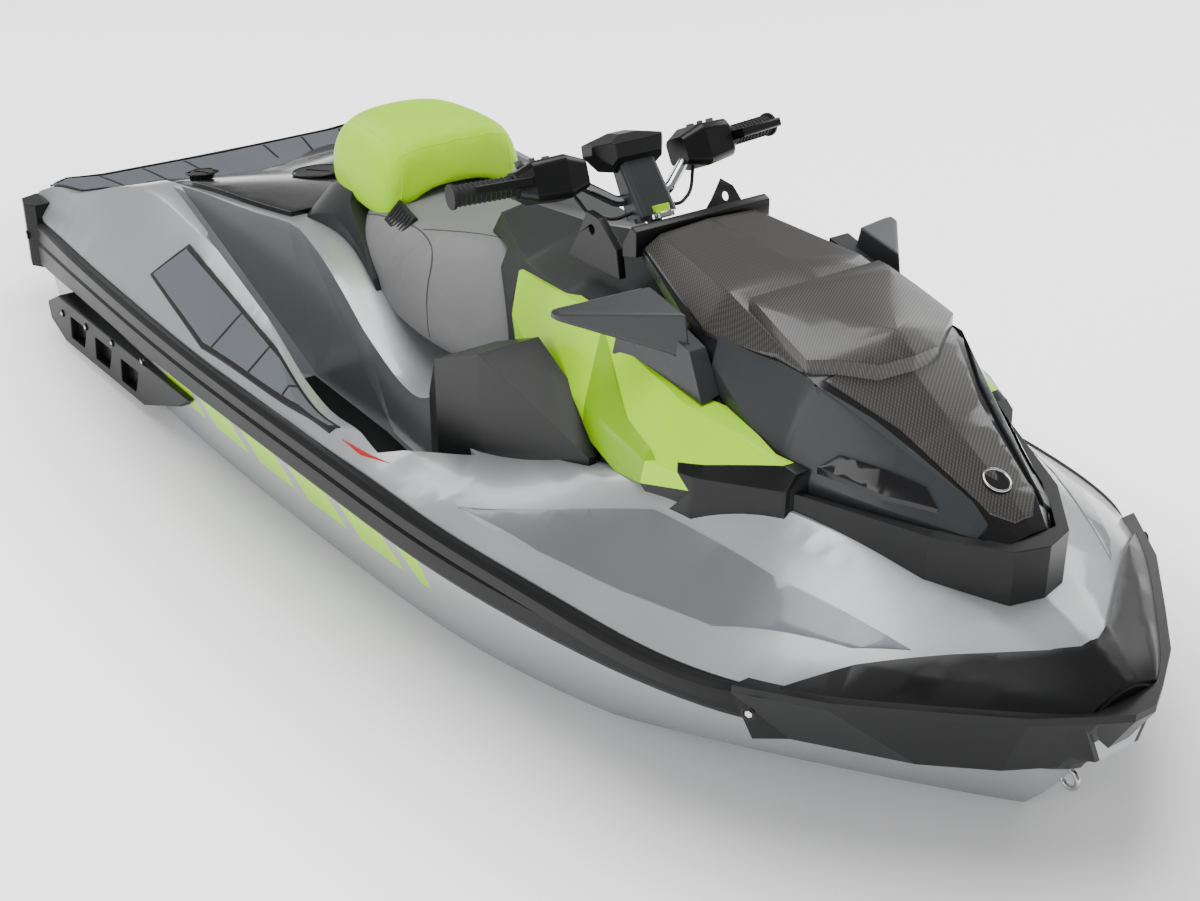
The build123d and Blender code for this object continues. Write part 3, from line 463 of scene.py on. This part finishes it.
def vinyl(name, colour):
    """Coated cloth: pebbled grain, soft gloss and a faint change of tone."""
    made = lacquer(name, colour, roughness=0.45, wear=0.04, shine=0.2)
    nodes, links = made.node_tree.nodes, made.node_tree.links
    shader = nodes["Principled BSDF"]
    shader.inputs["Sheen Weight"].default_value = 0.05
    place = nodes.new("ShaderNodeTexCoord")
    pebble = nodes.new("ShaderNodeTexVoronoi")
    pebble.feature = "SMOOTH_F1"
    pebble.inputs["Scale"].default_value = 420
    links.new(place.outputs["Object"], pebble.inputs["Vector"])
    relief = nodes.new("ShaderNodeBump")
    relief.inputs["Strength"].default_value = 0.35
    relief.inputs["Distance"].default_value = 0.0006
    links.new(pebble.outputs["Distance"], relief.inputs["Height"])
    links.new(relief.outputs["Normal"], shader.inputs["Normal"])
    return made


def seam(name, pad, places, body="craft", width=0.0016, finish=None):
    """Sewn seam: a thin cord laid along the pad's surface through some places near it."""
    bpy.ops.object.select_all(action="DESELECT")
    line = bpy.data.curves.new(name, "CURVE")
    line.dimensions = "3D"
    run = line.splines.new("NURBS")
    run.points.add(len(places) - 1)
    for point, place in zip(run.points, places):
        point.co = (*place, 1)
    run.order_u, run.use_endpoint_u, run.resolution_u = 3, True, 24
    stitch = bpy.data.objects.new(name, line)
    bpy.context.collection.objects.link(stitch)
    bpy.context.view_layer.objects.active = stitch
    stitch.select_set(True)
    bpy.ops.object.convert(target="MESH")
    stitch = bpy.context.object
    laid = stitch.modifiers.new("laid", "SHRINKWRAP")
    laid.target, laid.wrap_method, laid.offset = pad, "NEAREST_SURFACEPOINT", -width * 0.2
    bpy.ops.object.modifier_apply(modifier="laid")
    bpy.ops.object.convert(target="CURVE")
    stitch.data.bevel_depth, stitch.data.bevel_resolution = width, 2
    stitch.data.use_fill_caps = True
    bpy.ops.object.convert(target="MESH")
    stitch = bpy.context.object
    bpy.ops.object.shade_smooth()
    stitch.data.materials.clear()
    stitch.data.materials.append(finish)
    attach(stitch, body)
    return stitch


lime_vinyl = vinyl("lime_vinyl", lime_colour)
bolster_lines = [
    (0.992, [(0, .835), (.09, .83), (.135, .815), (.148, .835), (.148, .88), (.12, .92), (.07, .937),
             (0, .94)]),
    (1.06, [(0, .83), (.11, .82), (.162, .792), (.176, .81), (.176, .88), (.15, .945), (.085, .976),
            (0, .98)]),
    (1.17, [(0, .84), (.12, .83), (.166, .784), (.184, .80), (.184, .88), (.158, .95), (.09, .98),
            (0, .982)]),
    (1.275, [(0, .85), (.12, .84), (.166, .780), (.184, .795), (.186, .87), (.16, .95), (.09, .977),
             (0, .978)]),
    (1.335, [(0, .855), (.105, .85), (.155, .808), (.17, .82), (.172, .87), (.148, .935), (.085, .965),
             (0, .968)]),
]
bolster = soft_form("bolster", bolster_lines, give=0.005)
bolster.data.materials.append(lime_vinyl)
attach(bolster, "craft")
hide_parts("seat_bolster")

grey_vinyl = vinyl("grey_vinyl", (0.20, 0.20, 0.203))
saddle_lines = [
    (1.14, .190, .202, .768, .158, .836, .848),
    (1.35, .230, .236, .700, .174, .818, .836),
    (1.55, .262, .254, .680, .148, .826, .842),
    (1.70, .256, .236, .690, .122, .847, .862),
    (1.80, .230, .215, .690, .115, .800, .812),
    (1.872, .200, .190, .690, .105, .738, .746),
]
saddle = soft_form("saddle", [
    (x, [(0, .61), (foot * .75, .606), (foot, .62), ((foot + waist) / 2 + .004, (.62 + waist_h) / 2),
         (waist, waist_h), ((waist + edge) / 2 + .012, (waist_h + edge_h) / 2 + .012), (edge, edge_h),
         (edge * .6, edge_h + .004), (0, crown)])
    for x, foot, waist, waist_h, edge, edge_h, crown in saddle_lines], give=0.004)
saddle.data.materials.append(grey_vinyl)
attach(saddle, "craft")
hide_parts("seat_rider")
dark_thread = lacquer("seam_thread", (0.07, 0.07, 0.072), roughness=0.7, grain=0.6)
for side, name in ((1, "port"), (-1, "starboard")):
    seam("shoulder_seam_" + name, saddle, [spot(x, side * y, h) for x, y, h in (
        (1.20, .19, .79), (1.33, .178, .815), (1.44, .168, .82), (1.53, .19, .79), (1.56, .235, .72),
        (1.60, .262, .64))], finish=dark_thread)
    seam("nose_seam_" + name, saddle, [spot(x, side * y, h) for x, y, h in (
        (1.44, .168, .822), (1.55, .12, .84), (1.68, .09, .86), (1.78, .08, .83))], finish=dark_thread)
    seam("bolster_seam_" + name, bolster, [spot(x, side * y, h) for x, y, h in (
        (1.03, .13, .96), (1.14, .14, .975), (1.24, .15, .965), (1.31, .15, .95), (1.345, .14, .90),
        (1.34, .15, .84))], width=0.0012, finish=lime_vinyl)
seam("bolster_front_seam", bolster, [spot(x, y, h) for x, y, h in (
    (1.32, -.15, .945), (1.34, -.08, .962), (1.345, 0, .966), (1.34, .08, .962), (1.32, .15, .945))],
    width=0.0012, finish=lime_vinyl)

# A ribbed rubber plate is let into each flank of the saddle, below the bolster's front.
# Its ribs run across it; the pad under it shows round its edge.
plate_rubber = lacquer("plate_rubber", (0.012, 0.012, 0.013), roughness=0.5, grain=0.5, shine=0.35)
for side, name in ((1, "port"), (-1, "starboard")):
    out = Vector((0.05, side * 0.78, 0.62)).normalized()
    fore = Vector((0.98, side * 0.10, -0.20)).normalized()
    fore = (fore - out * fore.dot(out)).normalized()
    turned = Matrix((fore, out.cross(fore), out)).transposed().to_euler()
    middle = spot(1.352, side * 0.168, 0.812)
    bpy.ops.object.select_all(action="DESELECT")
    bpy.ops.mesh.primitive_cube_add(size=1, location=middle)
    grille = bpy.context.object
    grille.name = "seat_plate_" + name
    grille.scale = (0.082, 0.056, 0.012)
    grille.rotation_euler = turned
    bpy.ops.object.transform_apply(location=True, rotation=True, scale=True)
    for number in range(6):
        place = middle + fore * (0.0115 * (number - 2.5)) + out * 0.006
        bpy.ops.mesh.primitive_cube_add(size=1, location=place)
        groove = bpy.context.object
        groove.scale, groove.rotation_euler = (0.0045, 0.040, 0.006), turned
        bpy.ops.object.transform_apply(location=True, rotation=True, scale=True)
        trim_to(grille, groove, "DIFFERENCE")
        bpy.data.objects.remove(groove)
    eased = grille.modifiers.new("eased", "BEVEL")
    eased.width, eased.segments, eased.limit_method = 0.002, 3, "ANGLE"
    grille.data.materials.append(plate_rubber)
    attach(grille, "craft")

# ---- console -----------------------------------------------------------------------------
# The moulded cowl round the steering, with lime side panels clipped over it and dark vents below.
# A black ledge carries the hood's seal, and two fins with a hole stand beside the column.
# The boxes beside it are gloss mouldings that hold the speakers.
charcoal = lacquer("charcoal_plastic", (0.020, 0.021, 0.022), roughness=0.42, grain=0.5, shine=0.25)
lime = lacquer("lime_paint", lime_colour, roughness=0.3, coat=0.06, wear=0.03, shine=0.2)
lime_painted_shade = lacquer("lime_painted_shade_finish", (0.24, 0.50, 0.0), roughness=0.3, coat=0.06, shine=0.2)
satin_black = lacquer("satin_black", (0.008, 0.0082, 0.0085), roughness=0.3, grain=0.2, shine=0.24)
dress(charcoal, "console_cowl", "seat_base")
dress(lime, "side_panel")
dress(satin_black, "speaker_box", "mirror_bracket", "side_insert", "hood_trim")
dress(satin_charcoal, "mirror")
mirror_silver = lacquer("mirror_silver", (0.75, 0.76, 0.78), roughness=0.03, flake=1.0, wear=0.01)
dress(mirror_silver, "mirror_glass")
soften(0.007, "console_cowl", "seat_base", "mirror_port", "mirror_starboard")
soften(0.010, "speaker_box")
soften(0.003, "side_panel", "side_insert", "mirror_bracket")


def side_plate(name, outline, inner, outer, holes=()):
    """Upright plate over a side-view outline (x, h from stern and keel) between two breadths."""
    made = plate(name, [(cad_low.x + x, h + keel) for x, h in outline], inner, outer)
    for x, h, radius in holes:
        bpy.ops.mesh.primitive_cylinder_add(radius=radius, depth=4 * abs(outer - inner), vertices=32,
                                            location=(cad_low.x + x, h + keel, (inner + outer) / 2))
        drill = bpy.context.object
        trim_to(made, drill, "DIFFERENCE")
        bpy.data.objects.remove(drill)
    bpy.ops.object.select_all(action="DESELECT")
    made.select_set(True)
    bpy.context.view_layer.objects.active = made
    made.rotation_euler = (pi / 2, 0, 0)
    bpy.ops.object.transform_apply(location=False, rotation=True, scale=False)
    eased = made.modifiers.new("eased", "BEVEL")
    eased.width, eased.segments = 0.0015, 2
    eased.limit_method, eased.angle_limit = "ANGLE", radians(30)
    return made


for side, name in ((-1, "starboard"), (1, "port")):
    fin = side_plate("column_fin_" + name, [(1.985, 0.930), (2.150, 0.930), (2.140, 0.985), (2.085, 1.030),
                     (2.045, 1.034), (2.020, 0.985)], -side * 0.148, -side * 0.164, [(2.062, 1.002, 0.009)])
    fin.data.materials.append(satin_black)
    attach(fin, "craft")
    # Painted shade: a darker lime patch on each side panel where its facets turn from the light.
    laid("panel_shadow_" + name, "side_panel_" + name, [(x, side * y) for x, y in (
        (2.215, 0.25), (2.30, 0.40), (2.40, 0.42), (2.52, 0.36), (2.40, 0.33), (2.33, 0.30))],
        0.0012, lime_painted_shade, edge=0.0004)
ledge = side_plate("hood_ledge", [(2.150, 0.975), (2.192, 0.985), (2.192, 1.034), (2.176, 1.040),
                   (2.150, 1.000)], -0.158, 0.158)
ledge.data.materials.append(satin_black)
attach(ledge, "craft")

# ---- steering ----------------------------------------------------------------------------
# Raked column with a moulded shroud, a polished aluminium bar, ribbed rubber grips, faceted
# switch housings with finger levers, short cables and a gauge pod with a dark screen.
column_foot, rake = (2.046, 0.965), radians(24)


def steered(x, y, z):
    """Place on the steering frame: Z up the raked column, X forward across it, Y to port."""
    return spot(column_foot[0] + x * cos(rake) - z * sin(rake), y,
                column_foot[1] + x * sin(rake) + z * cos(rake))


bar_alloy = lacquer("polished_alloy", (0.62, 0.63, 0.65), roughness=0.16, flake=1.0, wear=0.02)
grip_rubber = lacquer("grip_rubber", (0.018, 0.018, 0.019), roughness=0.6, grain=0.7, grain_size=300)
switch_grey = lacquer("switch_grey", (0.11, 0.115, 0.12), roughness=0.4, grain=0.3)
dress(bar_alloy, "handlebar")
dress(grip_rubber, "grip", "control_cable")
dress(satin_black, "control_housing", "lever")
dress(satin_charcoal, "steering_column")
soften(0.006, "control_housing")
soften(0.003, "steering_column", "lever")
turn = Matrix.Rotation(-rake, 3, "Y")
# reach along the bar, height above it and diameter of each switch
switches = ((0.150, 0.052, 0.016), (0.178, 0.053, 0.012), (0.206, 0.052, 0.016))
bar_end, bar_knee = Vector((-0.071, 0.377, 0.146)), Vector((-0.038, 0.150, 0.134))
for side, name in ((-1, "starboard"), (1, "port")):
    end, knee = (Vector((p.x, side * p.y, p.z)) for p in (bar_end, bar_knee))
    run = (knee - end).normalized()
    facing = (turn @ run).to_track_quat("Z", "Y").to_euler()
    for number in range(11):
        place = steered(*(end + run * (0.010 + 0.010 * number)))
        bpy.ops.mesh.primitive_torus_add(major_radius=0.0188, minor_radius=0.0022, major_segments=40,
                                         minor_segments=10, location=place, rotation=facing)
        rib = bpy.context.object
        rib.name = "grip_rib_%s_%02d" % (name, number)
        bpy.ops.object.transform_apply(location=True, rotation=True, scale=True)
        bpy.ops.object.shade_smooth()
        rib.data.materials.append(grip_rubber)
        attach(rib, "steering")
    for number, (reach, high, size) in enumerate(switches):
        place = steered(*(end + run * reach + Vector((-0.012, 0, high - 0.012))))
        bpy.ops.mesh.primitive_cylinder_add(radius=size / 2, depth=0.012, vertices=28, location=place,
                                            rotation=(0, -rake, 0))
        button = bpy.context.object
        button.name = "switch_%s_%d" % (name, number)
        bpy.ops.object.transform_apply(location=True, rotation=True, scale=True)
        eased = button.modifiers.new("eased", "BEVEL")
        eased.width, eased.segments, eased.limit_method = 0.002, 3, "ANGLE"
        bpy.ops.object.shade_smooth_by_angle(angle=radians(35))
        button.data.materials.append(switch_grey)
        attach(button, "steering")
pod_turn = Matrix.Rotation(radians(12), 3, "Y")
pod_size = Vector((0.076, 0.168, 0.070))
pod_facets = [((0.030, 0, -0.014), (0.80, 0, -0.60)), ((0.020, 0, 0.030), (0.28, 0, 0.96))]
pod_facets += [((0.020, side * 0.066, 0), (0.62, side * 0.78, -0.10)) for side in (-1, 1)]
pod_facets += [((0, side * 0.068, -0.012), (0.10, side * 0.72, -0.68)) for side in (-1, 1)]
pod_facets += [((0, side * 0.040, 0.031), (0, side * 0.20, 0.98)) for side in (-1, 1)]
bpy.ops.object.select_all(action="DESELECT")
bpy.ops.mesh.primitive_cube_add(size=1)
pod = bpy.context.object
pod.name = "pod_visor"
pod.scale = pod_size
bpy.ops.object.transform_apply(location=False, rotation=False, scale=True)
bpy.ops.object.mode_set(mode="EDIT")
for through, facing in pod_facets:
    bpy.ops.mesh.select_all(action="SELECT")
    bpy.ops.mesh.bisect(plane_co=through, plane_no=facing, use_fill=True, clear_outer=True)
bpy.ops.object.mode_set(mode="OBJECT")
bpy.ops.mesh.primitive_cube_add(size=1, location=(-0.040, 0, 0.002))
recess = bpy.context.object
recess.scale = (0.016, 0.126, 0.042)
bpy.ops.object.transform_apply(location=True, rotation=False, scale=True)
trim_to(pod, recess, "DIFFERENCE")
bpy.data.objects.remove(recess)
bpy.ops.mesh.primitive_cube_add(size=1, location=(-0.0330, 0, 0.002))
screen = bpy.context.object
screen.name = "pod_screen"
screen.scale = (0.004, 0.1255, 0.0415)
bpy.ops.object.transform_apply(location=True, rotation=False, scale=True)
for piece, finish, edge in ((pod, satin_black, 0.004), (screen, gloss_black, 0.001)):
    bpy.ops.object.select_all(action="DESELECT")
    piece.select_set(True)
    bpy.context.view_layer.objects.active = piece
    piece.matrix_world = Matrix.LocRotScale(steered(-0.030, 0, 0.156), turn @ pod_turn, None)
    bpy.ops.object.transform_apply(location=True, rotation=True, scale=True)
    eased = piece.modifiers.new("eased", "BEVEL")
    eased.width, eased.segments, eased.limit_method = edge, 3, "ANGLE"
    eased.harden_normals = True
    piece.data.materials.append(finish)
    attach(piece, "steering")
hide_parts("gauge_pod")
for label, centre, radius, height, finish in (("foot_ring", (0.030, 0, 0.022), 0.024, 0.012, bar_alloy),
                                              ("lanyard_post", (0.030, 0, 0.034), 0.017, 0.016, lime)):
    bpy.ops.mesh.primitive_cylinder_add(radius=radius, depth=height, vertices=48, location=steered(*centre),
                                        rotation=(0, -rake, 0))
    ring_piece = bpy.context.object
    ring_piece.name = label
    bpy.ops.object.transform_apply(location=True, rotation=True, scale=True)
    eased = ring_piece.modifiers.new("eased", "BEVEL")
    eased.width, eased.segments, eased.limit_method = 0.002, 3, "ANGLE"
    bpy.ops.object.shade_smooth_by_angle(angle=radians(35))
    ring_piece.data.materials.append(finish)
    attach(ring_piece, "steering")

# ---- rear deck -----------------------------------------------------------------------------
# A gloss tray behind the seat with a slotted round cap and an anchor socket at each rear corner.
# The boarding platform has a foam mat in a black rim, cut along its length so that it drains.
dress(gloss_black, "rear_tray")
soften(0.003, "rear_tray")
dress(foam, "platform_mat")
rim_plan = [(0.064, 0.486), (0.192, 0.458), (0.182, 0.302), (0.192, 0.214), (0.286, 0.052)]
laid("platform_rim", "deck", both_sides(rim_plan), 0.0030, rim_black, edge=0.0006)
half_cut = 0.003
for number, y in enumerate((-0.36, -0.24, -0.12, 0.12, 0.24, 0.36)):
    laid("platform_cut_%d" % number, "platform_mat", [(0.075, y - half_cut), (0.075, y + half_cut),
         (0.19, y * 0.9 + half_cut), (0.19, y * 0.9 - half_cut)], 0.0009, rim_black, edge=0.0002)
tray_slope = -0.11
for label, x, y, h, radius, sides in (("filler_cap", 0.640, 0.0, 0.688, 0.058, 64),
                                      ("anchor_port", 0.520, 0.262, 0.703, 0.034, 6),
                                      ("anchor_starboard", 0.520, -0.262, 0.703, 0.034, 6)):
    bpy.ops.mesh.primitive_cylinder_add(radius=radius, depth=0.016, vertices=sides, location=spot(x, y, h),
                                        rotation=(0, tray_slope, 0))
    cap_piece = bpy.context.object
    cap_piece.name = label
    bpy.ops.object.transform_apply(location=True, rotation=True, scale=True)
    bpy.ops.mesh.primitive_cube_add(size=1, location=spot(x, y, h + 0.008), rotation=(0, tray_slope, 0.5))
    slot = bpy.context.object
    slot.scale = (radius * 1.3, 0.010, 0.010)
    bpy.ops.object.transform_apply(location=True, rotation=True, scale=True)
    trim_to(cap_piece, slot, "DIFFERENCE")
    bpy.data.objects.remove(slot)
    eased = cap_piece.modifiers.new("eased", "BEVEL")
    eased.width, eased.segments, eased.limit_method = 0.0015, 2, "ANGLE"
    bpy.ops.object.shade_smooth_by_angle(angle=radians(30))
    cap_piece.data.materials.append(satin_black)
    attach(cap_piece, "craft")
    bpy.ops.mesh.primitive_torus_add(major_radius=radius + 0.006, minor_radius=0.003, major_segments=sides,
                                     minor_segments=10, location=spot(x, y, h + 0.006),
                                     rotation=(0, tray_slope, 0))
    bead = bpy.context.object
    bead.name = label + "_bead"
    bpy.ops.object.transform_apply(location=True, rotation=True, scale=True)
    bpy.ops.object.shade_smooth()
    bead.data.materials.append(satin_black)
    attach(bead, "craft")

# ---- bumpers, rail and sponsons -----------------------------------------------------------------
# Moulded rubber and plastic fitted outside the shell, held by screws set in round recesses.
# Two thin black bands close the bow bumper round the stem and inside its lip.
black_rubber = lacquer("black_rubber", (0.009, 0.0092, 0.0095), roughness=0.42, grain=0.35, grain_size=500,
                       shine=0.18)
dress(black_rubber, "rub_rail", "stern_bumper", "sponson", "footwell_mat")
dress(satin_black, "bow_bumper")
soften(0.002, "rub_rail")
nose_plan = [(3.120, 0.160), (3.200, 0.160), (3.400, 0.10)]
tip_plan = [(3.215, 0.110), (3.400, 0.110)]
laid("bumper_nose", "hull", both_sides(nose_plan), 0.0060, satin_black, span=(0.385, 0.60), edge=0.0006)
laid("bumper_tip", "deck", both_sides(tip_plan), 0.0030, satin_black, span=(0.50, 0.70), edge=0.0006)
soften(0.008, "bow_bumper", "stern_bumper")
soften(0.004, "sponson")
steel = lacquer("stainless", (0.50, 0.50, 0.51), roughness=0.22, flake=1.0, wear=0.04)
screws = [("bow", (2.911, 0.470, 0.524), 0.010, (0.45, 0.9, 0)),
          ("stern", (0.055, 0.572, 0.47), 0.010, (-0.15, 1, 0))]
screws += [("sponson_%d" % number, (x, 0.606, 0.352 + 0.018 * number), 0.008, (0, 1, 0))
           for number, x in enumerate((0.345, 0.505, 0.675, 0.86))]
for label, (x, y, h), radius, outwards in screws:
    for side, name in ((-1, "starboard"), (1, "port")):
        facing = Vector((outwards[0], side * outwards[1], outwards[2])).to_track_quat("Z", "Y").to_euler()
        bpy.ops.mesh.primitive_torus_add(major_radius=radius, minor_radius=radius / 4, major_segments=32,
                                         minor_segments=8, location=spot(x, side * y, h), rotation=facing)
        washer = bpy.context.object
        washer.name = "washer_%s_%s" % (label, name)
        bpy.ops.mesh.primitive_cylinder_add(radius=radius * 0.7, depth=radius, vertices=6,
                                            location=spot(x, side * (y - 0.002), h), rotation=facing)
        bolt = bpy.context.object
        bolt.name = "screw_%s_%s" % (label, name)
        for piece, finish in ((washer, satin_black), (bolt, steel)):
            bpy.ops.object.select_all(action="DESELECT")
            piece.select_set(True)
            bpy.context.view_layer.objects.active = piece
            bpy.ops.object.transform_apply(location=True, rotation=True, scale=True)
            eased = piece.modifiers.new("eased", "BEVEL")
            eased.width, eased.segments, eased.limit_method = 0.0006, 2, "ANGLE"
            piece.data.materials.append(finish)
            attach(piece, "craft")

# ---- jet pump and metal fittings ---------------------------------------------------------------
# Cast aluminium pump, outlet and steering nozzle with a stainless rotor, and a black reverse gate.
# The tow eyes are bent stainless rod; the engine shows only as a painted block.
cast = lacquer("cast_aluminium", (0.40, 0.41, 0.42), roughness=0.42, flake=0.9, grain=0.6, grain_size=260)
engine_paint = lacquer("engine_paint", (0.05, 0.05, 0.055), roughness=0.4, grain=0.3)
bin_black = lacquer("bin_plastic", (0.02, 0.02, 0.021), roughness=0.6, grain=0.5)
dress(cast, "pump_housing", "pump_outlet", "pump_stator", "steering_nozzle", "ride_plate", "intake_grate")
dress(steel, "impeller", "drive_shaft", "bow_eye", "stern_eye")
dress(engine_paint, "engine")
dress(bin_black, "storage_bin", "reverse_gate")
soften(0.0015, "pump_housing", "pump_outlet", "steering_nozzle", "reverse_gate", "ride_plate")

# ---- roundel ---------------------------------------------------------------------------------
# A blank gloss disc in a thin bright ring on the hood's nose.
dress(gloss_black, "hood_roundel")
roundel_normal = Vector((0.42, 0, 0.91)).normalized()
bpy.ops.mesh.primitive_torus_add(major_radius=0.0235, minor_radius=0.0022, major_segments=64,
                                 minor_segments=10,
                                 location=spot(2.952, 0, 0.806) + roundel_normal * 0.0034,
                                 rotation=roundel_normal.to_track_quat("Z", "Y").to_euler())
ring_piece = bpy.context.object
ring_piece.name = "roundel_ring"
bpy.ops.object.transform_apply(location=True, rotation=True, scale=True)
bpy.ops.object.shade_smooth()
ring_piece.data.materials.append(bar_alloy)
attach(ring_piece, "hood_lid")


# ---- sizes -----------------------------------------------------------------------------------
# The imported model's box and the finished craft's box.
low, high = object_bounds()
